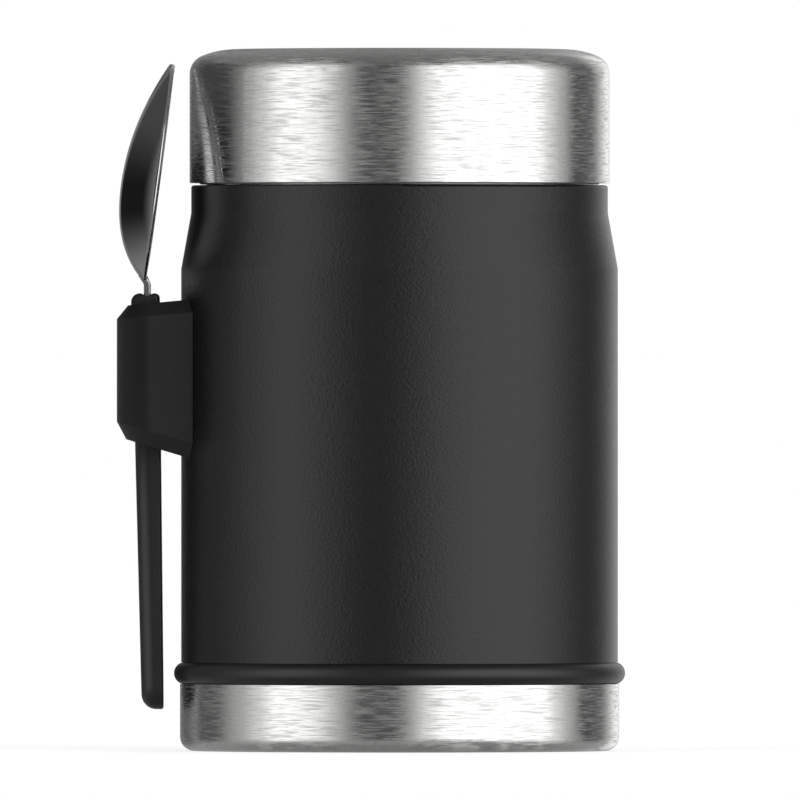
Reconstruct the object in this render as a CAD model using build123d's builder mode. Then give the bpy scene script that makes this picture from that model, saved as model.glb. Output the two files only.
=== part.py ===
from build123d import *
import os
from math import cos, radians, sin, sqrt

# Insulated food jar with a screw-on cup lid, an inner stopper and a spork in a side holder.
# Millimetres, +Z up, origin at the centre of the base. The holder is on the -X side.

# ---- Driving dimensions -------------------------------------------------------------------
steel = 0.6                     # sheet of the shell, liner, base cup and lid
total_height = 150.0
liner_radius = 40.0             # bore of the food chamber
liner_floor = 9.0
liner_corner = 8.0
collar_height = 10.1            # threaded mouth that stands inside the lid
thread_room = 1.4               # from the mouth collar to the lining of the lid
neck_inset = 0.35               # how far the neck lies inside the wall of the lid
neck_length = 5.9               # straight band below the shoulder
neck_taper = 12.0               # height of the cone between neck and body
neck_blend = 4.0
body_swell = 2.15               # how far the body stands out of the neck
shoulder_edge = 0.5

base_height = 14.3
base_swell = 0.25               # how far the base cup stands out of the body
base_corner = 3.0
base_recess = 1.0
base_recess_inset = 10.95       # from the side of the base to the raised middle
ring_height = 4.4
ring_bulge = 1.55               # how far the trim ring stands out of the body
shell_foot = 3.2
bottom_flange = 4.8
getter_radius = 6.0
getter_height = 2.0
getter_chamfer = 0.5

lid_height = 28.6
lid_seam = 0.5                  # line between lid and shoulder
lid_corner = 4.2
lid_corner_height = 5.3
lid_corner_turn = 67.0          # degrees of tight corner before the flat crown arc
lid_liner_wall = 1.4
lid_foam_inset = 8.3            # from the steel wall to the rim of the foam disc
lid_foam_height = 1.8
lid_gasket_width = 1.15
lid_gasket_height = 2.7

plug_gap = 1.1                  # from the plug to the liner, which leaves room for the thread
plug_depth = 18.0               # below the mouth rim
plug_wall = 1.6
flange_overhang = 0.3           # how far the flange reaches past the mouth collar
flange_height = 1.4
stopper_gasket_height = 1.4
cover_height = 1.4
grip_height = 1.5
grip_width = 3.4
grip_scallops = 24
grip_scallop_radius = 1.5

stem_radius = 2.7
barb_radius = 1.6               # thin end of the stem that holds the seal
spring_wire = 0.4               # radius of the wire
spring_room = 0.7               # beside the spring, towards the stem and towards its tube
spring_turns = 6
spring_seat_height = 9.0        # above the underside of the plug
tube_wall = 1.6
tube_headroom = 1.0             # above the tube when the button is down
skirt_room = 1.3                # between the tube and the skirt of the button
button_wall = 1.2
button_height = 6.1
button_proud = 1.5              # above the grip
button_dome = 0.7
button_travel = 2.5
well_wall = 1.3
well_depth = 4.8
seal_radius = 7.5
seal_height = 1.9

handle_lift = 8.9               # lower end of the handle above the ground
handle_rise = 2.8               # top of the handle above the holder
handle_collar = 6.8             # height of the wider part that hangs in the holder
handle_inset_top = 4.6          # from the body to the inner face of the handle
handle_inset_bottom = 3.75
handle_thickness_top = 6.05
handle_thickness_bottom = 4.65
handle_half_width = 9.0
handle_tip_half_width = 7.0
handle_ledge = 1.5              # how far the collar stands out of each side
handle_end_radius = 5.0
handle_outer_edge = 3.2
handle_inner_edge = 0.5
handle_collar_outer_corner = 1.9
handle_collar_inner_corner = 1.0
handle_collar_edge = 0.8
handle_groove = 0.6             # dip in the top of the handle where the tang enters

holder_drop = 25.9              # top of the holder below the shoulder
holder_height = 27.8
holder_wall = 3.05              # outside the handle
holder_side_wall = 4.8
holder_top_slope = 0.0935       # rise towards the jar, per mm
holder_bottom_slope = 0.30      # fall towards the jar, per mm
holder_corner = 7.0
holder_top_bevel = (2.4, 2.7)    # across the top and down the sides
holder_bottom_bevel = (2.1, 3.2)
holder_bevel_round = 0.5
plate_thickness = 0.8
plate_half_width = 8.0
plate_half_height = 11.0
stud_radius = 2.5
stud_spacing = 12.0

bowl_tilt = 7.54                # degrees, rim leaning towards the jar
bowl_rise = 2.83                # heel of the bowl above the handle
bowl_offset = 0.15              # heel outside the middle of the tang
bowl_length = 46.5
bowl_half_width = 18.5
bowl_depth = 8.15
bowl_wall = 1.15
bowl_crown_drop = 8.0           # turning axis above the rim, which sets how steep the sides are
bowl_rim_round = 0.45
bowl_tip_radius = 14.0
bowl_tip_lip = 0.1              # the hollow ends this far above the rim at the tip
tine_length = 8.2
tine_gap = 1.5
tine_gap_mouth = 2.8
tine_offset = 3.4               # middle of each notch from the middle of the bowl
tang_thickness = 1.5
tang_offset = 0.4               # the tang sits this much nearer the jar than the handle's middle
tang_step = 0.9                 # jog of the tang below the heel
tang_flare = 1.15               # how far the tang leans out to meet the back of the bowl
tang_half_width = 4.0
tang_insert = 22.0

# Side outline of the back of the bowl, in shares of its length and of its depth.
bowl_profile = [(-0.02, 0), (0.14, 0.71), (0.44, 1), (0.755, 0.71)]

# ---- Clearances ---------------------------------------------------------------------------
weld_gap = 0.1                  # pieces of one body, welded or glued together
seat_gap = 0.2                  # rubber rings and the seats they rest on
base_gap = 0.25                 # foot of the shell inside the base cup
run_gap = 0.3                   # pieces that move past each other
bond_gap = 0.05                 # plastic moulded round steel

# ---- Radii worked out from them, from the bore outwards -----------------------------------
collar_bore = liner_radius + steel + weld_gap
collar_radius = collar_bore + steel
lid_liner_bore = collar_radius + thread_room
lid_liner_radius = lid_liner_bore + lid_liner_wall
lid_bore = lid_liner_radius + seat_gap
lid_radius = lid_bore + steel
lid_foam_radius = lid_bore - lid_foam_inset
lid_gasket_inner = collar_radius + run_gap
lid_gasket_outer = lid_gasket_inner + lid_gasket_width
neck_radius = lid_radius - neck_inset
body_radius = neck_radius + body_swell
base_radius = body_radius + base_swell
base_recess_radius = base_radius - base_recess_inset
joggle_radius = base_radius - steel - base_gap
plug_radius = liner_radius - plug_gap
plug_bore = plug_radius - plug_wall
flange_radius = collar_radius + flange_overhang
stem_bore = stem_radius + run_gap
spring_radius = stem_radius + spring_room + spring_wire
spring_bore = spring_radius + spring_wire + spring_room
tube_radius = spring_bore + tube_wall
button_bore = tube_radius + skirt_room
button_radius = button_bore + button_wall
well_radius = button_radius + run_gap
well_outer = well_radius + well_wall

# ---- Levels, from the ground up -----------------------------------------------------------
ring_foot = base_height + weld_gap
ring_top = ring_foot + ring_height
shell_step = ring_top + weld_gap
bottom_top = shell_foot + bottom_flange
lid_foot = total_height - lid_height
shoulder_height = lid_foot - lid_seam
neck_foot = shoulder_height - neck_length
taper_foot = neck_foot - neck_taper
rim_height = shoulder_height + collar_height

lid_foam_foot = total_height - steel - run_gap - lid_foam_height
lid_liner_top = lid_foam_foot - run_gap
lid_liner_ceiling = lid_liner_top - lid_liner_wall
lid_gasket_foot = shoulder_height + seat_gap
lid_gasket_top = lid_gasket_foot + lid_gasket_height

plug_bottom = rim_height - plug_depth
plug_floor = plug_bottom + plug_wall
stopper_gasket_foot = rim_height + seat_gap
stopper_gasket_top = stopper_gasket_foot + stopper_gasket_height
flange_foot = stopper_gasket_top + seat_gap
flange_top = flange_foot + flange_height
cover_foot = flange_top + weld_gap
cover_top = cover_foot + cover_height
grip_top = cover_top + grip_height
well_foot = cover_foot - well_depth
button_top = grip_top + button_proud
button_foot = button_top - button_height
button_ceiling = button_top - button_dome - button_wall
tube_top = button_ceiling - button_travel - tube_headroom
spring_seat = plug_bottom + spring_seat_height
seal_top = plug_bottom - seat_gap
seal_foot = seal_top - seal_height

holder_top = shoulder_height - holder_drop
holder_bottom = holder_top - holder_height
handle_top = holder_top + handle_rise
handle_shoulder = handle_top - handle_collar
handle_bottom = handle_lift
heel_height = handle_top + bowl_rise

# ---- Distances of the holder and the spork from the jar axis --------------------------------
handle_inner_top = body_radius + handle_inset_top
handle_inner_bottom = body_radius + handle_inset_bottom
handle_outer_top = handle_inner_top + handle_thickness_top
handle_outer_bottom = handle_inner_bottom + handle_thickness_bottom
handle_collar_half_width = handle_half_width + handle_ledge
holder_reach = handle_outer_top + holder_wall
holder_half_width = handle_collar_half_width + run_gap + holder_side_wall
slot_inner = handle_inner_bottom - run_gap
slot_floor = handle_shoulder - run_gap
saddle_radius = body_radius + weld_gap
plate_outer = saddle_radius + plate_thickness
plate_middle = (slot_floor + holder_bottom) / 2
tang_middle = (handle_inner_top + handle_outer_top) / 2 - tang_offset
tang_outer = tang_middle + tang_thickness / 2
tang_inner = tang_middle - tang_thickness / 2


def crown(radius, top, corner):
    """Outline of the lid from its wall, round the tight corner and the flat arc, to the axis."""
    turn = radians(lid_corner_turn)
    drop = lid_corner_height - lid_corner + corner
    centre = (radius - corner, top - drop)
    flat = (drop - corner * sin(turn)) / (1 - sin(turn))
    flat_centre = (centre[0] + (corner - flat) * cos(turn), centre[1] + (corner - flat) * sin(turn))
    CenterArc(centre, corner, 0, lid_corner_turn)
    CenterArc(flat_centre, flat, lid_corner_turn, 90 - lid_corner_turn)
    Line((flat_centre[0], top), (0, top))


def holder_edge(x, height, slope):
    """Point on the sloping top or bottom of the holder at a distance from the jar axis."""
    return (-x, height + slope * (holder_reach - x))


def handle_outer(z):
    """Distance of the handle's outer face from the jar axis at a height."""
    share = (z - handle_bottom) / (handle_top - handle_bottom)
    return handle_outer_bottom + share * (handle_outer_top - handle_outer_bottom)


os.makedirs("parts", exist_ok=True)

# ---- Jar ----------------------------------------------------------------------------------
# Coated outer shell: joggled foot, body, cone, neck, shoulder and the threaded mouth collar.
with BuildPart() as outer_shell:
    with BuildSketch(Plane.XZ):
        with BuildLine():
            FilletPolyline(
                (joggle_radius, shell_foot),
                (joggle_radius, shell_step),
                (body_radius, shell_step),
                (body_radius, taper_foot),
                (neck_radius, neck_foot),
                (neck_radius, shoulder_height),
                (collar_radius, shoulder_height),
                (collar_radius, rim_height),
                (liner_radius, rim_height),
                (liner_radius, rim_height - steel),
                (collar_bore, rim_height - steel),
                (collar_bore, shoulder_height - steel),
                (neck_radius - steel, shoulder_height - steel),
                (neck_radius - steel, neck_foot),
                (body_radius - steel, taper_foot),
                (body_radius - steel, shell_step + steel),
                (joggle_radius - steel, shell_step + steel),
                (joggle_radius - steel, shell_foot),
                radius=[0, 0, 0, neck_blend, neck_blend, shoulder_edge, 0, shoulder_edge, 0]
                + [0, 0, 0, 0, neck_blend, neck_blend, 0, 0, 0],
                close=True,
            )
        make_face()
    revolve()
outer_shell.part.label = "outer_shell"
export_step(outer_shell.part, "parts/outer_shell.step")

# Food chamber, joined to the shell only at the mouth rim.
with BuildPart() as inner_liner:
    with BuildSketch(Plane.XZ):
        with BuildLine():
            FilletPolyline(
                (0, liner_floor),
                (0, liner_floor - steel),
                (liner_radius + steel, liner_floor - steel),
                (liner_radius + steel, rim_height - steel - weld_gap),
                (liner_radius, rim_height - steel - weld_gap),
                (liner_radius, liner_floor),
                radius=[0, 0, liner_corner, 0, 0, liner_corner - steel],
                close=True,
            )
        make_face()
    revolve()
inner_liner.part.label = "inner_liner"
export_step(inner_liner.part, "parts/inner_liner.step")

# Disc welded into the foot of the shell, which closes the vacuum space.
with BuildPart() as shell_bottom:
    with BuildSketch(Plane.XZ):
        with BuildLine():
            FilletPolyline(
                (0, shell_foot),
                (joggle_radius - steel - weld_gap, shell_foot),
                (joggle_radius - steel - weld_gap, bottom_top),
                (joggle_radius - 2 * steel - weld_gap, bottom_top),
                (joggle_radius - 2 * steel - weld_gap, shell_foot + steel),
                (0, shell_foot + steel),
                radius=[0, 2 * steel, 0, 0, steel, 0],
                close=True,
            )
        make_face()
    revolve()
shell_bottom.part.label = "shell_bottom"
export_step(shell_bottom.part, "parts/shell_bottom.step")

# Getter pellet, which keeps the vacuum.
with BuildPart() as getter:
    with BuildSketch(Plane.XY.offset(shell_foot + steel + weld_gap)):
        Circle(getter_radius)
    extrude(amount=getter_height)
    chamfer(getter.edges().group_by(Axis.Z)[-1], getter_chamfer)
getter.part.label = "getter"
export_step(getter.part, "parts/getter.step")

# Brushed base cup with a raised middle, so that the jar stands on a ring.
with BuildPart() as base_cup:
    with BuildSketch(Plane.XZ):
        with BuildLine():
            FilletPolyline(
                (0, base_recess),
                (base_recess_radius, base_recess),
                (base_recess_radius + base_recess, 0),
                (base_radius, 0),
                (base_radius, base_height),
                (base_radius - steel, base_height),
                (base_radius - steel, steel),
                (base_recess_radius + base_recess, steel),
                (base_recess_radius, base_recess + steel),
                (0, base_recess + steel),
                radius=[0, 0, 0, base_corner, 0, 0, base_corner - steel, 0, 0, 0],
                close=True,
            )
        make_face()
    revolve()
base_cup.part.label = "base_cup"
export_step(base_cup.part, "parts/base_cup.step")

# Rubber trim ring between the base cup and the step of the shell.
with BuildPart() as base_ring:
    with BuildSketch(Plane.XZ):
        with BuildLine():
            Polyline(
                (saddle_radius, ring_foot),
                (joggle_radius + weld_gap, ring_foot),
                (joggle_radius + weld_gap, ring_top),
                (saddle_radius, ring_top),
            )
            ThreePointArc(
                (saddle_radius, ring_top),
                (body_radius + ring_bulge, (ring_foot + ring_top) / 2),
                (saddle_radius, ring_foot),
            )
        make_face()
    revolve()
base_ring.part.label = "base_ring"
export_step(base_ring.part, "parts/base_ring.step")

# ---- Lid ----------------------------------------------------------------------------------
# Brushed steel cup that also serves as a bowl.
with BuildPart() as lid_shell:
    with BuildSketch(Plane.XZ):
        with BuildLine():
            Line((lid_bore, lid_foot), (lid_radius, lid_foot))
            Line((lid_radius, lid_foot), (lid_radius, total_height - lid_corner_height))
            crown(lid_radius, total_height, lid_corner)
            Line((0, total_height), (0, total_height - steel))
            crown(lid_bore, total_height - steel, lid_corner - steel)
            Line((lid_bore, total_height - lid_corner_height), (lid_bore, lid_foot))
        make_face()
    revolve()
lid_shell.part.label = "lid_shell"
export_step(lid_shell.part, "parts/lid_shell.step")

# Plastic lining of the lid, which carries the thread and a rebate for the gasket.
with BuildPart() as lid_liner:
    with BuildSketch(Plane.XZ):
        with BuildLine():
            FilletPolyline(
                (0, lid_liner_top),
                (lid_liner_radius, lid_liner_top),
                (lid_liner_radius, lid_foot + seat_gap),
                (lid_gasket_outer + run_gap, lid_foot + seat_gap),
                (lid_gasket_outer + run_gap, lid_gasket_top + run_gap),
                (lid_liner_bore, lid_gasket_top + run_gap),
                (lid_liner_bore, lid_liner_ceiling),
                (0, lid_liner_ceiling),
                radius=[0, lid_corner_height, 0, 0, 0, 0, lid_corner_height - lid_liner_wall, 0],
                close=True,
            )
        make_face()
    revolve()
lid_liner.part.label = "lid_liner"
export_step(lid_liner.part, "parts/lid_liner.step")

# Foam disc in the air gap under the steel top.
with BuildPart() as lid_foam:
    with BuildSketch(Plane.XY.offset(lid_foam_foot)):
        Circle(lid_foam_radius)
    extrude(amount=lid_foam_height)
lid_foam.part.label = "lid_foam"
export_step(lid_foam.part, "parts/lid_foam.step")

# Silicone ring between the lid and the shoulder of the jar.
with BuildPart() as lid_gasket:
    with BuildSketch(Plane.XY.offset(lid_gasket_foot)):
        Circle(lid_gasket_outer)
        Circle(lid_gasket_inner, mode=Mode.SUBTRACT)
    extrude(amount=lid_gasket_height)
    fillet(lid_gasket.edges(), lid_gasket_width / 4)
lid_gasket.part.label = "lid_gasket"
export_step(lid_gasket.part, "parts/lid_gasket.step")

# ---- Stopper ------------------------------------------------------------------------------
# Hollow plug with a flange over the mouth rim and a guide tube for the vent stem.
with BuildPart() as stopper_body:
    with BuildSketch(Plane.XZ):
        with BuildLine():
            FilletPolyline(
                (stem_bore, plug_bottom),
                (plug_radius, plug_bottom),
                (plug_radius, flange_foot),
                (flange_radius, flange_foot),
                (flange_radius, flange_top),
                (plug_bore, flange_top),
                (plug_bore, plug_floor),
                (tube_radius, plug_floor),
                (tube_radius, tube_top),
                (spring_bore, tube_top),
                (spring_bore, spring_seat),
                (stem_bore, spring_seat),
                radius=[0, plug_wall, 0, 0, 0, 0, plug_wall / 2, plug_wall / 2, 0, 0, 0, 0],
                close=True,
            )
        make_face()
    revolve()
stopper_body.part.label = "stopper_body"
export_step(stopper_body.part, "parts/stopper_body.step")

# Cover welded on the flange: button well in the middle and a scalloped grip round the edge.
with BuildPart() as stopper_cover:
    with BuildSketch(Plane.XZ):
        with BuildLine():
            FilletPolyline(
                (well_radius, cover_top),
                (well_radius, well_foot),
                (well_outer, well_foot),
                (well_outer, cover_foot),
                (flange_radius, cover_foot),
                (flange_radius, grip_top),
                (flange_radius - grip_width, grip_top),
                (flange_radius - grip_width, cover_top),
                radius=[0, 0, 0, 0, 0, cover_height / 3, cover_height / 3, 0],
                close=True,
            )
        make_face()
    revolve()
    with BuildSketch(Plane.XY.offset(cover_top)):
        with PolarLocations(flange_radius - grip_width, grip_scallops):
            Circle(grip_scallop_radius)
    extrude(amount=grip_height, mode=Mode.SUBTRACT)
stopper_cover.part.label = "stopper_cover"
export_step(stopper_cover.part, "parts/stopper_cover.step")

# Foam ring sealed inside the plug.
with BuildPart() as stopper_foam:
    with BuildSketch(Plane.XY.offset(plug_floor + run_gap)):
        Circle(plug_bore - run_gap)
        Circle(well_outer + run_gap, mode=Mode.SUBTRACT)
    extrude(amount=cover_foot - plug_floor - 2 * run_gap)
stopper_foam.part.label = "stopper_foam"
export_step(stopper_foam.part, "parts/stopper_foam.step")

# Silicone ring pinched between the flange and the mouth rim.
with BuildPart() as stopper_gasket:
    with BuildSketch(Plane.XY.offset(stopper_gasket_foot)):
        Circle(collar_radius)
        Circle(plug_radius + run_gap, mode=Mode.SUBTRACT)
    extrude(amount=stopper_gasket_height)
    fillet(stopper_gasket.edges(), stopper_gasket_height / 4)
stopper_gasket.part.label = "stopper_gasket"
export_step(stopper_gasket.part, "parts/stopper_gasket.step")

# Push button with a skirt, and the stem that opens the seal under the plug.
with BuildPart() as vent_button:
    with BuildSketch(Plane.XZ):
        with BuildLine():
            Polyline(
                (button_radius, button_top - button_dome),
                (button_radius, button_foot),
                (button_bore, button_foot),
                (button_bore, button_ceiling),
                (stem_radius, button_ceiling),
                (stem_radius, seal_top + seat_gap / 2),
                (barb_radius, seal_top + seat_gap / 2),
                (barb_radius, seal_foot),
                (0, seal_foot),
                (0, button_top),
            )
            ThreePointArc(
                (0, button_top),
                (button_radius / 2, button_top - button_dome / 4),
                (button_radius, button_top - button_dome),
            )
        make_face()
    revolve()
vent_button.part.label = "vent_button"
export_step(vent_button.part, "parts/vent_button.step")

# Silicone disc on the end of the stem.
with BuildPart() as vent_seal:
    with BuildSketch(Plane.XZ):
        with BuildLine():
            Polyline(
                (barb_radius + bond_gap, seal_foot),
                (seal_radius - seal_height, seal_foot),
                (seal_radius, seal_top - seal_height / 3),
                (seal_radius, seal_top),
                (barb_radius + bond_gap, seal_top),
                close=True,
            )
        make_face()
    revolve()
vent_seal.part.label = "vent_seal"
export_step(vent_seal.part, "parts/vent_seal.step")

# Return spring round the stem, from its seat in the tube to the underside of the button.
spring_foot = spring_seat + weld_gap + spring_wire
spring_height = button_ceiling - weld_gap - spring_wire - spring_foot
with BuildPart() as vent_spring:
    with BuildLine() as spring_line:
        Helix(spring_height / spring_turns, spring_height, spring_radius, center=(0, 0, spring_foot))
    with BuildSketch(Plane(origin=spring_line.line @ 0, z_dir=spring_line.line % 0)):
        Circle(spring_wire)
    sweep(is_frenet=True)
vent_spring.part.label = "vent_spring"
export_step(vent_spring.part, "parts/vent_spring.step")

# ---- Spoon holder -------------------------------------------------------------------------
# Moulded sleeve with a saddle that fits the shell and a slot that tapers with the handle.
holder_back = saddle_radius - holder_half_width / 2    # deep enough for the saddle cut
with BuildPart() as spoon_holder:
    with BuildSketch(Plane.XZ):
        with BuildLine():
            Polyline(
                holder_edge(holder_reach, holder_bottom, -holder_bottom_slope),
                holder_edge(holder_reach, holder_top, holder_top_slope),
                holder_edge(holder_back, holder_top, holder_top_slope),
                holder_edge(holder_back, holder_bottom, -holder_bottom_slope),
                close=True,
            )
        make_face()
    extrude(amount=holder_half_width, both=True)
    outer_face = spoon_holder.faces().sort_by(Axis.X)[0]
    fillet(outer_face.edges().filter_by(Axis.Z), holder_corner)
    top_face = spoon_holder.faces().sort_by(Axis.Z)[-1]
    top_rim = top_face.edges().sort_by(Axis.X)[:-1]
    chamfer(top_rim, *holder_top_bevel, reference=top_face)
    bottom_face = spoon_holder.faces().sort_by(Axis.Z)[0]
    bottom_rim = bottom_face.edges().sort_by(Axis.X)[:-1]
    chamfer(bottom_rim, *holder_bottom_bevel, reference=bottom_face)
    side_face = spoon_holder.faces().sort_by(Axis.X)[0]
    fillet(side_face.edges().filter_by(Axis.Y), holder_bevel_round)
    with BuildSketch(Plane.XY):
        Circle(saddle_radius)
    extrude(amount=total_height, mode=Mode.SUBTRACT)
    with BuildSketch(Plane.XZ):
        with BuildLine():
            Polyline(
                (-slot_inner, 0),
                (-handle_outer(0) - run_gap, 0),
                (-handle_outer(total_height) - run_gap, total_height),
                (-slot_inner, total_height),
                close=True,
            )
        make_face()
    extrude(amount=handle_half_width + run_gap, both=True, mode=Mode.SUBTRACT)
    with BuildSketch(Plane.XY.offset(slot_floor)):
        with Locations((-(slot_inner + handle_outer_top + run_gap) / 2, 0)):
            RectangleRounded(
                handle_outer_top + run_gap - slot_inner,
                2 * (handle_collar_half_width + run_gap),
                handle_collar_edge,
            )
    extrude(amount=total_height, mode=Mode.SUBTRACT)
    with BuildSketch(Plane.XY.offset(plate_middle - plate_half_height - run_gap)):
        Circle(plate_outer + weld_gap)
        with Locations((-body_radius, 0)):
            Rectangle(body_radius, 2 * (plate_half_width + run_gap), mode=Mode.INTERSECT)
    extrude(amount=2 * (plate_half_height + run_gap), mode=Mode.SUBTRACT)
    with Locations(Plane.YZ.offset(-handle_outer_top)):
        with Locations((0, plate_middle - stud_spacing / 2), (0, plate_middle + stud_spacing / 2)):
            Cylinder(
                stud_radius + weld_gap,
                handle_outer_top - body_radius,
                align=(Align.CENTER, Align.CENTER, Align.MIN),
                mode=Mode.SUBTRACT,
            )
spoon_holder.part.label = "spoon_holder"
export_step(spoon_holder.part, "parts/spoon_holder.step")

# Curved plate spot-welded to the shell, with two studs that the holder is staked on.
with BuildPart() as holder_plate:
    with BuildSketch(Plane.XY.offset(plate_middle - plate_half_height)):
        Circle(plate_outer)
        Circle(saddle_radius, mode=Mode.SUBTRACT)
        with Locations((-body_radius, 0)):
            Rectangle(body_radius, 2 * plate_half_width, mode=Mode.INTERSECT)
    extrude(amount=2 * plate_half_height)
    with Locations(Plane.YZ.offset(-slot_inner)):
        with Locations((0, plate_middle - stud_spacing / 2), (0, plate_middle + stud_spacing / 2)):
            Cylinder(
                stud_radius,
                slot_inner - saddle_radius - plate_thickness / 2,
                align=(Align.CENTER, Align.CENTER, Align.MIN),
            )
holder_plate.part.label = "holder_plate"
export_step(holder_plate.part, "parts/holder_plate.step")

# ---- Spork --------------------------------------------------------------------------------
# The bowl is turned from its side outline about an axis above the rim, cut off at the rim and
# hollowed about a higher axis, stretched sideways into an oval and notched into three tines.
tilt = radians(bowl_tilt)
rim_dir = Vector(sin(tilt), 0, cos(tilt))
depth_dir = Vector(-cos(tilt), 0, sin(tilt))
heel = Vector(-tang_middle - bowl_offset, 0, heel_height)
side_plane = Plane(origin=heel, x_dir=rim_dir, z_dir=rim_dir.cross(depth_dir))
rim_plane = Plane(origin=heel, x_dir=(0, -1, 0), z_dir=depth_dir)

# Back and hollow of the bowl: distances from the heel and depths below the rim.
back = [(along * bowl_length, depth * bowl_depth) for along, depth in bowl_profile]
back += [(bowl_length, bowl_wall)]
hollow = [(along, depth - bowl_wall) for along, depth in back[:-1]]
hollow += [(bowl_length, -bowl_tip_lip)]

# The stretch brings the turned bowl to its width, and the higher axis leaves an even rim.
hollow_depth = bowl_depth - bowl_wall
stretch = bowl_half_width / sqrt(bowl_depth**2 + 2 * bowl_depth * bowl_crown_drop)
hollow_half_width = (bowl_half_width - bowl_wall) / stretch
hollow_drop = (hollow_half_width**2 - hollow_depth**2) / (2 * hollow_depth)

with BuildPart() as spork_bowl:
    with BuildSketch(side_plane):
        with BuildLine():
            Spline(back)
            Polyline(back[-1], (bowl_length, -bowl_crown_drop), (back[0][0], -bowl_crown_drop), back[0])
        make_face()
    revolve(axis=Axis(heel - depth_dir * bowl_crown_drop, rim_dir))
    split(bisect_by=rim_plane, keep=Keep.TOP)
    fillet(spork_bowl.faces().filter_by(rim_plane).edges(), bowl_rim_round)
    with BuildSketch(side_plane):
        with BuildLine():
            Spline(hollow)
            Polyline(hollow[-1], (bowl_length, -hollow_drop), (hollow[0][0], -hollow_drop), hollow[0])
        make_face()
    revolve(axis=Axis(heel - depth_dir * hollow_drop, rim_dir), mode=Mode.SUBTRACT)
    scale(by=(1, stretch, 1))
    with BuildSketch(rim_plane):
        with Locations((0, bowl_length)):
            Rectangle(2 * bowl_half_width, 2 * tine_length)
        with Locations((0, bowl_length - bowl_tip_radius)):
            Circle(bowl_tip_radius, mode=Mode.SUBTRACT)
        for side in (-tine_offset, tine_offset):
            with BuildLine():
                Polyline(
                    (side - tine_gap / 2, bowl_length - tine_length),
                    (side - tine_gap_mouth / 2, bowl_length + tine_gap),
                    (side + tine_gap_mouth / 2, bowl_length + tine_gap),
                    (side + tine_gap / 2, bowl_length - tine_length),
                )
                ThreePointArc(
                    (side + tine_gap / 2, bowl_length - tine_length),
                    (side, bowl_length - tine_length - tine_gap / 2),
                    (side - tine_gap / 2, bowl_length - tine_length),
                )
            make_face()
    extrude(amount=bowl_depth, mode=Mode.SUBTRACT)
    with BuildSketch(Plane.XZ):
        with BuildLine():
            FilletPolyline(
                (-tang_outer, handle_top - tang_insert),
                (-tang_outer, heel_height - tang_step),
                (-tang_outer - tang_flare, heel_height + tang_step),
                (-tang_middle, heel_height + tang_step),
                (-tang_inner, heel_height - tang_step),
                (-tang_inner, handle_top - tang_insert),
                radius=[0, tang_step, 0, 0, tang_step, 0],
                close=True,
            )
        make_face()
    extrude(amount=tang_half_width, both=True)
spork_bowl.part.label = "spork_bowl"
export_step(spork_bowl.part, "parts/spork_bowl.step")

# Plastic handle moulded round the tang: tapered bar, with shoulders that rest in the holder.
with BuildPart() as spork_handle:
    with BuildSketch(Plane.XZ):
        with BuildLine():
            Polyline(
                (-handle_outer_bottom, handle_bottom),
                (-handle_outer(handle_shoulder), handle_shoulder),
                (-handle_inner_top, handle_shoulder),
                (-handle_inner_bottom, handle_bottom),
                close=True,
            )
        make_face()
    extrude(amount=handle_collar_half_width, both=True)
    with BuildSketch(Plane.YZ):
        with BuildLine():
            FilletPolyline(
                (-handle_tip_half_width, handle_bottom),
                (handle_tip_half_width, handle_bottom),
                (handle_half_width, handle_shoulder),
                (-handle_half_width, handle_shoulder),
                radius=[handle_end_radius, handle_end_radius, 0, 0],
                close=True,
            )
        make_face()
    extrude(amount=-2 * body_radius, mode=Mode.INTERSECT)
    for end_face, edge_radius in ((0, handle_outer_edge), (-1, handle_inner_edge)):
        flat_face = spork_handle.faces().filter_by(GeomType.PLANE).sort_by(Axis.X)[end_face]
        fillet(flat_face.edges().sort_by(Axis.Z)[:-1], edge_radius)
    with BuildSketch(Plane.XZ):
        with BuildLine():
            FilletPolyline(
                (-handle_outer_top, handle_shoulder),
                (-handle_outer_top, handle_top),
                (-handle_inner_top, handle_top),
                (-handle_inner_top, handle_shoulder),
                radius=[0, handle_collar_outer_corner, handle_collar_inner_corner, 0],
                close=True,
            )
        make_face()
    extrude(amount=handle_collar_half_width, both=True)
    for side in (0, -1):
        side_face = spork_handle.faces().sort_by(Axis.Y)[side]
        fillet(side_face.edges().sort_by(Axis.Z)[1:], handle_collar_edge)
    with BuildSketch(Plane.XZ):
        with Locations((-tang_middle, handle_top)):
            Rectangle(tang_thickness + 2 * bond_gap, 2 * (tang_insert + bond_gap))
    extrude(amount=tang_half_width + bond_gap, both=True, mode=Mode.SUBTRACT)
    with BuildSketch(Plane.XZ):
        with BuildLine():
            Polyline(
                (-tang_middle, handle_top - handle_groove),
                (-tang_outer - handle_groove, handle_top),
                (-tang_inner + handle_groove, handle_top),
                close=True,
            )
        make_face()
    extrude(amount=handle_collar_half_width, both=True, mode=Mode.SUBTRACT)
spork_handle.part.label = "spork_handle"
export_step(spork_handle.part, "parts/spork_handle.step")
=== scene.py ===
from math import pi, radians, sin

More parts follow.
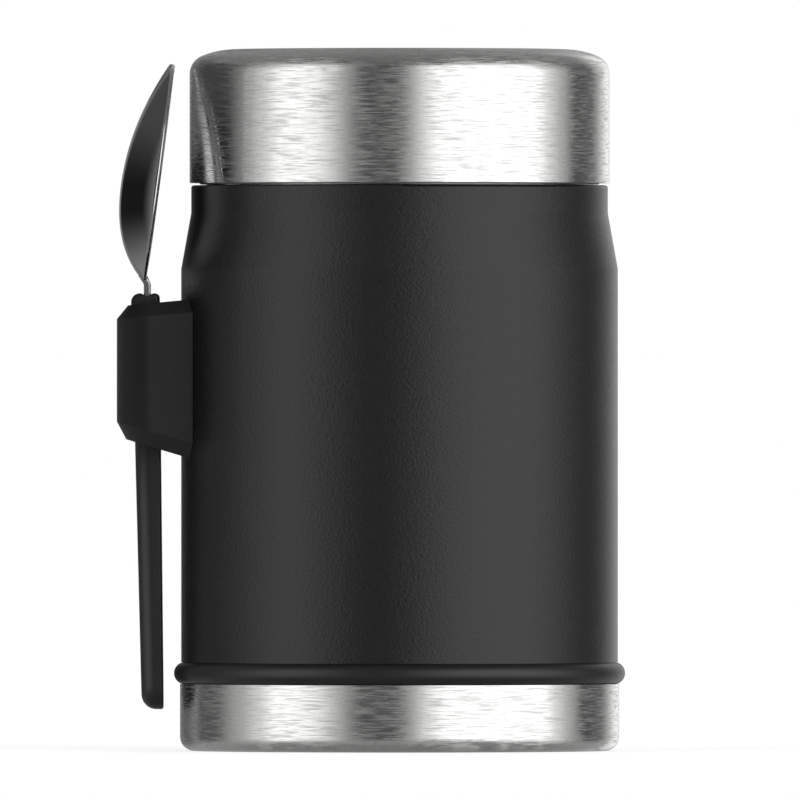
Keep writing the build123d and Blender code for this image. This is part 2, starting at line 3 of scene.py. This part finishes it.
import bmesh
import bpy
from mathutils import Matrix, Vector


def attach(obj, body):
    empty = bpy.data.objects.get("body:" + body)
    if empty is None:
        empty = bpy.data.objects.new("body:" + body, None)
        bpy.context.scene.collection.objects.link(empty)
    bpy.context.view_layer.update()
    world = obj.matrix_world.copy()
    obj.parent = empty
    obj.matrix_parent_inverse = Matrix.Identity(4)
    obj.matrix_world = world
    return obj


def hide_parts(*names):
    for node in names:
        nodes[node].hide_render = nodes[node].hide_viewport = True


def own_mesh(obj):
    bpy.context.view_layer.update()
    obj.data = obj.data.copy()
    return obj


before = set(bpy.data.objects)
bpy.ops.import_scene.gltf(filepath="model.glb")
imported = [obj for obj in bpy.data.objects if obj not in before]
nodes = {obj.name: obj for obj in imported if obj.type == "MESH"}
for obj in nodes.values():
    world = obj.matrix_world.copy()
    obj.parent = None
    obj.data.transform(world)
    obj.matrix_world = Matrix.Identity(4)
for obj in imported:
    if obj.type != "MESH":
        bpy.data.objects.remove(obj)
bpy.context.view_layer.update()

mm = 0.001
noiseSpan = (0.3, 0.7)     # most values of a noise lie in it
bpy.context.scene.view_settings.view_transform = "Standard"
print("frame loaded:", len(nodes), "parts")


# Small helpers

def newMaterial(name):
    material = bpy.data.materials.new(name)
    material.use_nodes = True
    material.node_tree.nodes.clear()
    return material, material.node_tree


def addNode(tree, kind, **settings):
    node = tree.nodes.new(kind)
    for key, value in settings.items():
        setattr(node, key, value)
    return node


def join(tree, start, end):
    tree.links.new(start, end)


def mathNode(tree, operation, first, second=None):
    node = addNode(tree, "ShaderNodeMath", operation=operation)
    for socket, value in zip(node.inputs, (first, second)):
        if value is None:
            continue
        if isinstance(value, (int, float)):
            socket.default_value = value
        else:
            join(tree, value, socket)
    return node.outputs[0]


def vectorNode(tree, operation, first, second=None, scale=None):
    node = addNode(tree, "ShaderNodeVectorMath", operation=operation)
    for socket, value in zip(node.inputs, (first, second)):
        if value is None:
            continue
        if isinstance(value, tuple):
            socket.default_value = value
        else:
            join(tree, value, socket)
    if isinstance(scale, (int, float)):
        node.inputs["Scale"].default_value = scale
    elif scale is not None:
        join(tree, scale, node.inputs["Scale"])
    return node.outputs["Value"] if operation in ("LENGTH", "DOT_PRODUCT") else node.outputs[0]


def mapRange(tree, value, fromMin, fromMax, toMin, toMax, smooth=False):
    node = addNode(tree, "ShaderNodeMapRange")
    node.interpolation_type = "SMOOTHSTEP" if smooth else "LINEAR"
    join(tree, value, node.inputs["Value"])
    numbers = {"From Min": fromMin, "From Max": fromMax, "To Min": toMin, "To Max": toMax}
    for name, number in numbers.items():
        node.inputs[name].default_value = number
    return node.outputs["Result"]


def noiseNode(tree, vector, scale, detail=2.0, roughness=0.5):
    node = addNode(tree, "ShaderNodeTexNoise")
    join(tree, vector, node.inputs["Vector"])
    node.inputs["Scale"].default_value = scale
    node.inputs["Detail"].default_value = detail
    node.inputs["Roughness"].default_value = roughness
    return node.outputs["Fac"]


def shareOfColor(tree, share, color):
    # black mixed with the color, so a share above 1 counts as 1
    node = addNode(tree, "ShaderNodeMix", data_type="RGBA")
    join(tree, share, node.inputs["Factor"])
    node.inputs[6].default_value = (0, 0, 0, 1)
    node.inputs[7].default_value = (*color, 1)
    return node.outputs[2]


def mixValue(tree, share, first, second):
    node = addNode(tree, "ShaderNodeMix")
    join(tree, share, node.inputs[0])
    for socket, value in ((node.inputs[2], first), (node.inputs[3], second)):
        if isinstance(value, (int, float)):
            socket.default_value = value
        else:
            join(tree, value, socket)
    return node.outputs[0]


def finishShader(tree, sockets):
    shader = addNode(tree, "ShaderNodeBsdfPrincipled")
    output = addNode(tree, "ShaderNodeOutputMaterial")
    join(tree, shader.outputs[0], output.inputs["Surface"])
    for name, value in sockets.items():
        socket = shader.inputs[name]
        if isinstance(value, bpy.types.NodeSocket):
            join(tree, value, socket)
        elif isinstance(value, tuple):
            socket.default_value = (*value, 1)
        else:
            socket.default_value = value


def bumpNode(tree, height, strength, distance):
    node = addNode(tree, "ShaderNodeBump")
    node.inputs["Strength"].default_value = strength
    node.inputs["Distance"].default_value = distance
    join(tree, height, node.inputs["Height"])
    return node.outputs["Normal"]


def objectCoords(tree):
    return addNode(tree, "ShaderNodeTexCoord").outputs["Object"]


# Camera

cameraSet = {
    "middle": (0.10 * mm, 75.0 * mm),    # x and z of the view's centre
    "frameWidth": 171.1 * mm,
    "lens": 1650.0,                      # long, because the view is nearly without perspective
    "sensor": 36.0,
    "farClip": 100.0,
}


def makeCamera(values):
    data = bpy.data.cameras.new("camera")
    data.lens = values["lens"]
    data.sensor_width = values["sensor"]
    data.clip_end = values["farClip"]
    camera = bpy.data.objects.new("camera", data)
    distance = values["frameWidth"] * values["lens"] / values["sensor"]
    camera.location = (values["middle"][0], -distance, values["middle"][1])
    camera.rotation_euler = (pi / 2, 0, 0)
    bpy.context.scene.collection.objects.link(camera)
    bpy.context.scene.camera = camera
    print("camera at", round(distance, 3), "m")


makeCamera(cameraSet)


# Studio

studio = {
    "worldLevel": 0.62,        # as a light; to the camera, metal and glass the world is white
    "floorSize": 8.0,
    "floorColor": (0.95, 0.95, 0.95),
    "floorGlow": (0.7, 1.0),   # share of plain white in the floor that is seen directly, near and far
    "floorFade": (0.10, 0.60),    # metres from the jar's axis over which it goes from one to the other
    "domeRadius": 1.6,
    "domeSegments": (96, 48),
    # azimuth in degrees from the camera, positive to the right, and brightness of the light tent there
    "panels": [
        (-180, 0.34), (-150, 0.12), (-135, 0.28), (-127, 0.10), (-113, 0.12), (-92, 0.52), (-79, 0.94),
        (-68, 1.6), (-55, 1.6), (-17, 0.10), (-3, 0.12), (28, 1.9), (79, 1.9), (91, 0.98), (99, 0.60),
        (112, 0.10), (128, 0.14), (159, 1.15), (167, 1.15), (175, 0.34),
    ],
    "tentTop": (39, 50),       # elevations between which the panels end
    "tentTopBack": (20, 38),   # the same for the panels behind the jar
    "tentSides": (55, 130),    # azimuths between which the one becomes the other
    "tentFoot": (-26, -8),     # elevations between which the panels begin
    "ceiling": (0.11, 0.29),   # in front and at the back
    "underside": (0.24, 0.42),        # straight below and near the foot of the panels
    "undersideSpan": (-0.85, -0.3),   # heights of those two, as shares of the radius
    # dark cards beside the spork: ends seen from above, heights between which they darken,
    # and brightness below and above that
    "flags": {
        "frontFlag": (
            (-130 * mm, -40.2 * mm), (-56 * mm, -34.8 * mm),    # along a ray that the lid reflects
            (108 * mm, 132 * mm), 0.13, 0.012,
        ),
        "sideFlag": (
            (-72 * mm, -26 * mm), (-72 * mm, 30 * mm),
            (88 * mm, 116 * mm), 0.24, 0.012,
        ),
    },
    "flagHeights": (60 * mm, 170 * mm),
    "flagHaze": (122 * mm, 146 * mm, 0.06),    # heights over which both get lighter again, by how much
    "flagEdge": (-26 * mm, -11 * mm, 0.26),    # depths over which the side card darkens, its front level
    "lamps": [
        # name, place, size, watts
        ("keyRight", (0.9, -1.1, 1.1), 0.9, 14.0),
        ("fillLeft", (-1.1, -0.9, 0.9), 0.9, 9.0),
        ("backTop", (0.0, 1.0, 1.5), 1.0, 8.0),
    ],
}


def seenDirectly(tree):
    # 1 for what the camera, metal and glass see, 0 for what only lights the scene
    path = addNode(tree, "ShaderNodeLightPath")
    glossy = mathNode(tree, "MAXIMUM", path.outputs["Is Camera Ray"], path.outputs["Is Glossy Ray"])
    return mathNode(tree, "MAXIMUM", glossy, path.outputs["Is Transmission Ray"])


def makeWorld(values):
    world = bpy.data.worlds.new("studioWorld")
    world.use_nodes = True
    tree = world.node_tree
    tree.nodes.clear()
    background = addNode(tree, "ShaderNodeBackground")
    background.inputs["Color"].default_value = (1, 1, 1, 1)
    level = values["worldLevel"]
    join(tree, mapRange(tree, seenDirectly(tree), 0, 1, level, 1), background.inputs["Strength"])
    output = addNode(tree, "ShaderNodeOutputWorld")
    join(tree, background.outputs[0], output.inputs["Surface"])
    bpy.context.scene.world = world


def makeFloor(values):
    half = values["floorSize"] / 2
    mesh = bpy.data.meshes.new("floor")
    corners = [(-half, -half, 0), (half, -half, 0), (half, half, 0), (-half, half, 0)]
    mesh.from_pydata(corners, [], [(0, 1, 2, 3)])
    floor = bpy.data.objects.new("floor", mesh)
    bpy.context.scene.collection.objects.link(floor)
    material, tree = newMaterial("floorPaint")
    diffuse = addNode(tree, "ShaderNodeBsdfDiffuse")
    diffuse.inputs["Color"].default_value = (*values["floorColor"], 1)
    glow = addNode(tree, "ShaderNodeEmission")
    mix = addNode(tree, "ShaderNodeMixShader")
    away = vectorNode(tree, "LENGTH", objectCoords(tree))
    share = mapRange(tree, away, *values["floorFade"], *values["floorGlow"])
    join(tree, mathNode(tree, "MULTIPLY", seenDirectly(tree), share), mix.inputs[0])
    join(tree, diffuse.outputs[0], mix.inputs[1])
    join(tree, glow.outputs[0], mix.inputs[2])
    output = addNode(tree, "ShaderNodeOutputMaterial")
    join(tree, mix.outputs[0], output.inputs["Surface"])
    mesh.materials.append(material)
    floor.visible_glossy = False     # the foot of the tent stands for it in reflections


def makeTent(values):
    # dome of soft panels and dark gaps, seen only in reflections
    mesh = bpy.data.meshes.new("lightTent")
    shape = bmesh.new()
    radius = values["domeRadius"]
    around, upwards = values["domeSegments"]
    bmesh.ops.create_uvsphere(shape, u_segments=around, v_segments=upwards, radius=radius)
    shape.to_mesh(mesh)
    shape.free()
    tent = bpy.data.objects.new("lightTent", mesh)
    bpy.context.scene.collection.objects.link(tent)
    material, tree = newMaterial("tentCloth")
    split = addNode(tree, "ShaderNodeSeparateXYZ")
    join(tree, objectCoords(tree), split.inputs[0])
    x, y, z = split.outputs
    azimuth = mathNode(tree, "ARCTAN2", x, mathNode(tree, "MULTIPLY", y, -1))
    share = mapRange(tree, azimuth, -pi, pi, 0, 1)
    ramp = addNode(tree, "ShaderNodeValToRGB")
    ramp.color_ramp.interpolation = "EASE"
    join(tree, share, ramp.inputs[0])
    top = max(level for angle, level in values["panels"])
    stops = ramp.color_ramp.elements
    for index, (angle, level) in enumerate(values["panels"]):
        place = (angle + 180) / 360
        stop = stops[index] if index < 2 else stops.new(place)    # a ramp starts with two stops
        stop.position = place
        stop.color = (level / top, level / top, level / top, 1)
    panel = mathNode(tree, "MULTIPLY", ramp.outputs[0], top)
    ceiling = mapRange(tree, y, -radius, radius, *values["ceiling"])
    above, aboveBack, below = (
        mapRange(tree, z, *(radius * sin(radians(angle)) for angle in values[name]), 0, 1, True)
        for name in ("tentTop", "tentTopBack", "tentFoot")
    )
    near, far = (radians(angle) for angle in values["tentSides"])
    behind = mapRange(tree, mathNode(tree, "ABSOLUTE", azimuth), near, far, 0, 1, True)
    level = mixValue(tree, mixValue(tree, behind, above, aboveBack), panel, ceiling)
    depths = (radius * share for share in values["undersideSpan"])
    underside = mapRange(tree, z, *depths, *values["underside"])
    level = mixValue(tree, below, underside, level)
    emission = addNode(tree, "ShaderNodeEmission")
    join(tree, level, emission.inputs["Strength"])
    output = addNode(tree, "ShaderNodeOutputMaterial")
    join(tree, emission.outputs[0], output.inputs["Surface"])
    material.cycles.emission_sampling = "NONE"
    mesh.materials.append(material)
    seenInReflections(tent)


def seenInReflections(piece):
    piece.visible_camera = False
    piece.visible_diffuse = False
    piece.visible_shadow = False
    piece.visible_volume_scatter = False


def makeFlags(values):
    # the cards keep the back of the spork dark
    foot, top = values["flagHeights"]
    for name, (first, last, fade, low, high) in values["flags"].items():
        mesh = bpy.data.meshes.new(name)
        corners = [(*first, foot), (*last, foot), (*last, top), (*first, top)]
        mesh.from_pydata(corners, [], [(0, 1, 2, 3)])
        flag = bpy.data.objects.new(name, mesh)
        bpy.context.scene.collection.objects.link(flag)
        material, tree = newMaterial(name + "Cloth")
        split = addNode(tree, "ShaderNodeSeparateXYZ")
        join(tree, objectCoords(tree), split.inputs[0])
        emission = addNode(tree, "ShaderNodeEmission")
        level = mapRange(tree, split.outputs[2], *fade, low, high, True)
        near, far, haze = values["flagHaze"]
        level = mathNode(tree, "ADD", level, mapRange(tree, split.outputs[2], near, far, 0, haze, True))
        if name == "sideFlag":
            near, far, light = values["flagEdge"]
            level = mixValue(tree, mapRange(tree, split.outputs[1], near, far, 0, 1, True), light, level)
        join(tree, level, emission.inputs["Strength"])
        output = addNode(tree, "ShaderNodeOutputMaterial")
        join(tree, emission.outputs[0], output.inputs["Surface"])
        material.cycles.emission_sampling = "NONE"
        mesh.materials.append(material)
        seenInReflections(flag)


def makeLamps(values):
    target = Vector((0, 0, cameraSet["middle"][1]))
    for name, place, size, watts in values["lamps"]:
        data = bpy.data.lights.new(name, "AREA")
        data.shape = "DISK"
        data.size = size
        data.energy = watts
        lamp = bpy.data.objects.new(name, data)
        lamp.location = place
        lamp.rotation_euler = (target - Vector(place)).to_track_quat("-Z", "Y").to_euler()
        lamp.visible_camera = False
        lamp.visible_glossy = False      # the tent stands for them in reflections
        bpy.context.scene.collection.objects.link(lamp)


makeWorld(studio)
makeFloor(studio)
makeTent(studio)
makeFlags(studio)
makeLamps(studio)
print("studio ready")


# Materials

steelLook = {
    "color": (0.66, 0.655, 0.645),
    "streakAround": 9.0,       # noise cells round the axis, per radian
    "streakAcross": 3600.0,    # noise cells per metre across the streaks
    "fineScale": 2.7,          # how much finer the second set of streaks is
    "streakTilt": 0.02,        # how far the streaks turn the surface sideways
    "streakDip": 0.05,         # and how far up and down
    "shade": (0.97, 1.0),
    "calmFoot": (2.0 * mm, 3.4 * mm),     # heights over which the sideways turn sets in
    "calmTop": (144.6 * mm, 146.6 * mm),  # and stops again, so the rounded corners are calm
    "roughness": (0.04, 0.52),            # of the smoothest and the roughest streaks
    "roughnessSpan": (0.36, 0.64),        # noise values between which one becomes the other
    "anisotropy": 0.72,
    "anisotropyTurn": 0.25,               # in turns
    "flatTop": (149.2 * mm, 149.95 * mm),  # the lid's flat top is ground, and so duller
    "topRoughness": 0.5,
}


def aroundAxis(tree):
    # unit vector away from the axis, distance to it and height, in the piece's own space
    split = addNode(tree, "ShaderNodeSeparateXYZ")
    join(tree, objectCoords(tree), split.inputs[0])
    flat = addNode(tree, "ShaderNodeCombineXYZ")
    join(tree, split.outputs[0], flat.inputs[0])
    join(tree, split.outputs[1], flat.inputs[1])
    radius = vectorNode(tree, "LENGTH", flat.outputs[0])
    outward = vectorNode(tree, "NORMALIZE", flat.outputs[0])
    return outward, radius, split.outputs[2]


def brushedSteel(name, look):
    material, tree = newMaterial(name)
    outward, radius, height = aroundAxis(tree)
    across = mathNode(tree, "SUBTRACT", height, radius)
    place = vectorNode(tree, "SCALE", outward, scale=look["streakAround"])
    lift = addNode(tree, "ShaderNodeCombineXYZ")
    join(tree, mathNode(tree, "MULTIPLY", across, look["streakAcross"]), lift.inputs[2])
    streakPlace = vectorNode(tree, "ADD", place, lift.outputs[0])
    streaks = noiseNode(tree, streakPlace, 1.0, detail=3.0, roughness=0.62)
    fine = noiseNode(tree, streakPlace, look["fineScale"])
    # the streaks turn the surface a little round the axis, so the edges of reflections fray
    around = vectorNode(tree, "CROSS_PRODUCT", (0, 0, 1), outward)
    toWorld = addNode(tree, "ShaderNodeVectorTransform", vector_type="VECTOR")
    toWorld.convert_from = "OBJECT"
    toWorld.convert_to = "WORLD"
    join(tree, around, toWorld.inputs[0])
    begin = mapRange(tree, height, *look["calmFoot"], 0, 1, True)
    stop = mapRange(tree, height, *look["calmTop"], 1, 0, True)
    straight = mathNode(tree, "MULTIPLY", begin, stop)
    swing = mathNode(tree, "MULTIPLY", straight, look["streakTilt"])
    tilt = mathNode(tree, "MULTIPLY", mathNode(tree, "SUBTRACT", streaks, 0.5), swing)
    dip = mathNode(tree, "MULTIPLY", mathNode(tree, "SUBTRACT", fine, 0.5), look["streakDip"])
    normal = addNode(tree, "ShaderNodeNewGeometry").outputs["Normal"]
    sideways = vectorNode(tree, "SCALE", toWorld.outputs[0], scale=tilt)
    turned = vectorNode(tree, "ADD", normal, sideways)
    upright = addNode(tree, "ShaderNodeCombineXYZ")
    join(tree, dip, upright.inputs[2])
    turned = vectorNode(tree, "NORMALIZE", vectorNode(tree, "ADD", turned, upright.outputs[0]))
    shade = mapRange(tree, streaks, *noiseSpan, *look["shade"])
    color = shareOfColor(tree, shade, look["color"])
    roughness = mapRange(tree, streaks, *look["roughnessSpan"], *look["roughness"])
    flatTop = mapRange(tree, height, *look["flatTop"], 0, 1, True)
    roughness = mixValue(tree, flatTop, roughness, look["topRoughness"])
    finishShader(tree, {
        "Base Color": color, "Metallic": 1.0, "Roughness": roughness, "Normal": turned,
        "Anisotropic": look["anisotropy"], "Anisotropic Rotation": look["anisotropyTurn"],
        "Tangent": toWorld.outputs[0],
    })
    return material


polishLook = {
    "color": (0.72, 0.72, 0.73),
    "shade": (0.96, 1.0),
    "roughness": (0.035, 0.077),
    "hazeScale": 900.0,        # cells per metre
    "hazeSpan": (0.35, 0.7),
    "waveScale": 60.0,         # cells per metre
    "wave": 0.02,
    "waveDepth": 2 * mm,
    "edge": 0.7 * mm,          # softens the rims in the shading
}


def polishedSteel(name, look):
    material, tree = newMaterial(name)
    coords = objectCoords(tree)
    haze = noiseNode(tree, coords, look["hazeScale"], detail=4.0, roughness=0.6)
    waves = noiseNode(tree, coords, look["waveScale"], detail=1.0)
    roughness = mapRange(tree, haze, *look["hazeSpan"], *look["roughness"])
    shade = mapRange(tree, haze, *noiseSpan, *look["shade"])
    color = shareOfColor(tree, shade, look["color"])
    normal = bumpNode(tree, waves, look["wave"], look["waveDepth"])
    softEdge = addNode(tree, "ShaderNodeBevel", samples=8)
    softEdge.inputs["Radius"].default_value = look["edge"]
    join(tree, softEdge.outputs[0], normal.node.inputs["Normal"])
    finishShader(tree, {"Base Color": color, "Metallic": 1.0, "Roughness": roughness, "Normal": normal})
    return material


coatLook = {
    "color": (0.0046, 0.0046, 0.0048),
    "specular": 0.42,
    "tint": (0.85, 1.12),      # shares of the color from the dips to the bumps, 1 at most: painted shade darkens the dips of the relief
    "roughness": (0.297, 0.3795),
    "grain": 1700.0,           # bumps per metre
    "fineScale": 3.1,          # how much finer the second grain is
    "fineShare": 0.35,
    "bump": 0.4,
    "bumpDepth": 0.25 * mm,
    "coatTop": 120.95 * mm,    # above it the mouth of the shell is bare
    "inwardLimit": -0.3,       # faces that point this much to the axis are bare too
    "bareColor": (0.62, 0.615, 0.605),
    "bareRoughness": 0.3,
}


def powderCoat(name, look):
    material, tree = newMaterial(name)
    coords = objectCoords(tree)
    peel = noiseNode(tree, coords, look["grain"], detail=2.0, roughness=0.55)
    fine = noiseNode(tree, coords, look["grain"] * look["fineScale"])
    height = mathNode(tree, "ADD", peel, mathNode(tree, "MULTIPLY", fine, look["fineShare"]))
    # the color follows the relief: painted shade in its dips, while the bumps keep the full color
    tint = mapRange(tree, peel, *noiseSpan, *look["tint"])
    color = shareOfColor(tree, tint, look["color"])
    roughness = mapRange(tree, fine, *noiseSpan, *look["roughness"])
    outward, _, level = aroundAxis(tree)
    normal = addNode(tree, "ShaderNodeNewGeometry").outputs["Normal"]
    facing = vectorNode(tree, "DOT_PRODUCT", normal, outward)
    inside = mathNode(tree, "LESS_THAN", facing, look["inwardLimit"])
    bare = mathNode(tree, "MAXIMUM", inside, mathNode(tree, "GREATER_THAN", level, look["coatTop"]))
    paint = addNode(tree, "ShaderNodeMix", data_type="RGBA")
    join(tree, bare, paint.inputs["Factor"])
    join(tree, color, paint.inputs[6])
    paint.inputs[7].default_value = (*look["bareColor"], 1)
    roughness = mixValue(tree, bare, roughness, look["bareRoughness"])
    relief = mathNode(tree, "MULTIPLY", mathNode(tree, "SUBTRACT", 1, bare), height)
    normal = bumpNode(tree, relief, look["bump"], look["bumpDepth"])
    finishShader(tree, {
        "Base Color": paint.outputs[2], "Metallic": bare, "Roughness": roughness, "Normal": normal,
        "Specular IOR Level": look["specular"],
    })
    return material


mouldSet = {
    "cloudSize": 40,           # times the size of the grain
    "tint": (0.92, 1.06),      # shares of the color, 1 at most
    "wear": (0.9, 1.15),       # shares of the roughness
    "bumpDepth": 0.12 * mm,
}


def mouldedPlastic(name, color, roughness, grain, bump):
    material, tree = newMaterial(name)
    coords = objectCoords(tree)
    spark = noiseNode(tree, coords, grain, detail=3.0, roughness=0.6)
    cloud = noiseNode(tree, coords, grain / mouldSet["cloudSize"])
    tint = mapRange(tree, cloud, *noiseSpan, *mouldSet["tint"])
    shade = shareOfColor(tree, tint, color)
    rough = mapRange(tree, spark, *noiseSpan, *(share * roughness for share in mouldSet["wear"]))
    normal = bumpNode(tree, spark, bump, mouldSet["bumpDepth"])
    finishShader(tree, {"Base Color": shade, "Roughness": rough, "Normal": normal})
    return material


plasticLooks = {
    # color, roughness, grain per metre, bump
    "blackPlastic": ((0.0062, 0.0062, 0.0064), 0.42, 2600.0, 0.10),
    "darkPlastic": ((0.028, 0.028, 0.031), 0.40, 2200.0, 0.12),
    "greyPlastic": ((0.20, 0.20, 0.21), 0.42, 2200.0, 0.10),
    "trimRubber": ((0.0050, 0.0050, 0.0052), 0.40, 1800.0, 0.10),
    "silicone": ((0.46, 0.46, 0.46), 0.45, 1500.0, 0.08),
    "foam": ((0.72, 0.72, 0.70), 0.9, 1200.0, 0.6),
}

materials = {name: mouldedPlastic(name, *look) for name, look in plasticLooks.items()}
materials["brushedSteel"] = brushedSteel("brushedSteel", steelLook)
materials["satinSteel"] = brushedSteel("satinSteel", {**steelLook, "roughness": (0.24, 0.38)})
materials["polishedSteel"] = polishedSteel("polishedSteel", polishLook)
materials["powderCoat"] = powderCoat("powderCoat", coatLook)

wearing = {
    "lid_shell": "brushedSteel", "base_cup": "brushedSteel", "outer_shell": "powderCoat",
    "inner_liner": "satinSteel", "shell_bottom": "satinSteel", "holder_plate": "satinSteel",
    "getter": "satinSteel", "vent_spring": "satinSteel", "base_ring": "trimRubber",
    "lid_liner": "greyPlastic", "vent_button": "greyPlastic", "stopper_body": "darkPlastic",
    "stopper_cover": "darkPlastic", "lid_foam": "foam", "stopper_foam": "foam",
    "lid_gasket": "silicone", "stopper_gasket": "silicone", "vent_seal": "silicone",
    "spoon_holder": "blackPlastic", "spork_handle": "blackPlastic", "spork_bowl": "polishedSteel",
}


def dress(node, material):
    part = nodes[node]
    if not part.material_slots:
        part.data.materials.append(material)
    for slot in part.material_slots:
        slot.material = material


for node, name in wearing.items():
    dress(node, materials[name])
print("materials on", len(wearing), "parts")


# Threads

threadSet = {
    "pitch": 4.0 * mm,
    "rootWidth": 1.9 * mm,
    "crestWidth": 0.8 * mm,
    "sunk": 0.25 * mm,         # how deep a thread stands in the wall that carries it
    "runOut": 0.09,            # share of the length over which each end fades
    "endScale": 0.05,          # size of the ridge at its very ends
    "steps": 120,              # per turn
    "mergeDistance": 0.001 * mm,
}

# body, wall radius and crest radius in mm, height in mm where the first full turn starts,
# first and last turn, material
threads = {
    "mouthThread": ("jar", 41.3, 42.25, 124.9, 0.0, 1.25, "satinSteel"),
    "lidThread": ("lid", 42.7, 41.65, 126.9, -0.3, 0.8, "greyPlastic"),
    "linerThread": ("jar", 40.0, 39.3, 124.2, 0.0, 1.1, "satinSteel"),
    "plugThread": ("stopper", 38.9, 39.6, 122.2, -0.7, 0.9, "darkPlastic"),
}


def threadGroup(values):
    # a tapered ridge swept along a helix, with its ends faded into the wall
    group = bpy.data.node_groups.new("screwThread", "GeometryNodeTree")
    interface = group.interface
    sockets = {}
    for name in ("WallRadius", "Height", "StartHeight", "Turns", "StartAngle", "Depth", "Material"):
        kind = "NodeSocketMaterial" if name == "Material" else "NodeSocketFloat"
        sockets[name] = interface.new_socket(name, in_out="INPUT", socket_type=kind).identifier
    interface.new_socket("Geometry", in_out="OUTPUT", socket_type="NodeSocketGeometry")
    given = addNode(group, "NodeGroupInput")
    spiral = addNode(group, "GeometryNodeCurveSpiral")
    spiral.inputs["Resolution"].default_value = values["steps"]
    spiral.inputs["Reverse"].default_value = True
    join(group, given.outputs["Turns"], spiral.inputs["Rotations"])
    join(group, given.outputs["WallRadius"], spiral.inputs["Start Radius"])
    join(group, given.outputs["WallRadius"], spiral.inputs["End Radius"])
    join(group, given.outputs["Height"], spiral.inputs["Height"])
    place = addNode(group, "ShaderNodeCombineXYZ")
    join(group, given.outputs["StartHeight"], place.inputs[2])
    turn = addNode(group, "ShaderNodeCombineXYZ")
    join(group, given.outputs["StartAngle"], turn.inputs[2])
    move = addNode(group, "GeometryNodeTransform")
    join(group, spiral.outputs[0], move.inputs["Geometry"])
    join(group, place.outputs[0], move.inputs["Translation"])
    join(group, turn.outputs[0], move.inputs["Rotation"])
    upright = addNode(group, "GeometryNodeSetCurveNormal", mode="Z_UP")
    join(group, move.outputs[0], upright.inputs["Curve"])
    # the ridge is drawn with x away from the wall and y up
    half, crest, sunk = values["rootWidth"] / 2, values["crestWidth"] / 2, values["sunk"]
    profile = addNode(group, "GeometryNodeCurvePrimitiveQuadrilateral", mode="POINTS")
    depth = given.outputs["Depth"]
    side = mathNode(group, "SIGN", depth)
    root = mathNode(group, "MULTIPLY", side, -sunk)
    outline = ((root, -half), (depth, -crest), (depth, crest), (root, half))
    for index, (away, up) in enumerate(outline):
        corner = addNode(group, "ShaderNodeCombineXYZ")
        join(group, away, corner.inputs[0])
        corner.inputs[1].default_value = up
        join(group, corner.outputs[0], profile.inputs[f"Point {index + 1}"])
    along = addNode(group, "GeometryNodeSplineParameter").outputs["Factor"]
    back = mathNode(group, "SUBTRACT", 1, along)
    near = mathNode(group, "MINIMUM", along, back)
    fade = mapRange(group, near, 0, values["runOut"], values["endScale"], 1, True)
    sweep = addNode(group, "GeometryNodeCurveToMesh")
    join(group, upright.outputs[0], sweep.inputs["Curve"])
    join(group, profile.outputs[0], sweep.inputs["Profile Curve"])
    sweep.inputs["Fill Caps"].default_value = True
    join(group, fade, sweep.inputs["Scale"])
    realize = addNode(group, "GeometryNodeRealizeInstances")
    join(group, sweep.outputs[0], realize.inputs[0])
    paint = addNode(group, "GeometryNodeSetMaterial")
    join(group, realize.outputs[0], paint.inputs["Geometry"])
    join(group, given.outputs["Material"], paint.inputs["Material"])
    output = addNode(group, "NodeGroupOutput")
    join(group, paint.outputs[0], output.inputs[0])
    return group, sockets


def faceOutwards(mesh, mergeDistance):
    shape = bmesh.new()
    shape.from_mesh(mesh)
    bmesh.ops.remove_doubles(shape, verts=shape.verts, dist=mergeDistance)
    bmesh.ops.recalc_face_normals(shape, faces=shape.faces)
    shape.to_mesh(mesh)
    shape.free()


def makeThreads(values):
    group, sockets = threadGroup(values)
    pitch = values["pitch"]
    for name, (body, wall, crest, height, first, last, material) in threads.items():
        carrier = bpy.data.objects.new(name + "Tree", bpy.data.meshes.new(name + "Tree"))
        bpy.context.scene.collection.objects.link(carrier)
        modifier = carrier.modifiers.new("thread", "NODES")
        modifier.node_group = group
        for key, value in {
            "WallRadius": wall * mm, "Height": (last - first) * pitch, "Turns": last - first,
            "StartHeight": height * mm + first * pitch, "StartAngle": first * 2 * pi,
            "Depth": (crest - wall) * mm, "Material": materials[material],
        }.items():
            modifier[sockets[key]] = value
        graph = bpy.context.evaluated_depsgraph_get()
        shape = bpy.data.meshes.new_from_object(
            carrier.evaluated_get(graph), preserve_all_data_layers=True, depsgraph=graph
        )
        bpy.data.objects.remove(carrier)
        shape.name = name
        faceOutwards(shape, values["mergeDistance"])
        for polygon in shape.polygons:
            polygon.use_smooth = False
        piece = bpy.data.objects.new(name, shape)
        bpy.context.scene.collection.objects.link(piece)
        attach(piece, body)
    print("threads made:", len(threads))


makeThreads(threadSet)


# Spring of the vent button

ventCoilSet = {
    "travel": 2.5 * mm,        # how much shorter the spring is when the button is down
    "mergeDistance": 0.001 * mm,
}


def makeVentCoil(values):
    shape = nodes["vent_spring"].data.copy()
    shape.name = "ventCoil"
    faceOutwards(shape, values["mergeDistance"])
    for polygon in shape.polygons:
        polygon.use_smooth = True
    coil = bpy.data.objects.new("ventCoil", shape)
    bpy.context.scene.collection.objects.link(coil)
    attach(coil, "stopper")
    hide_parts("vent_spring")
    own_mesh(coil)


makeVentCoil(ventCoilSet)
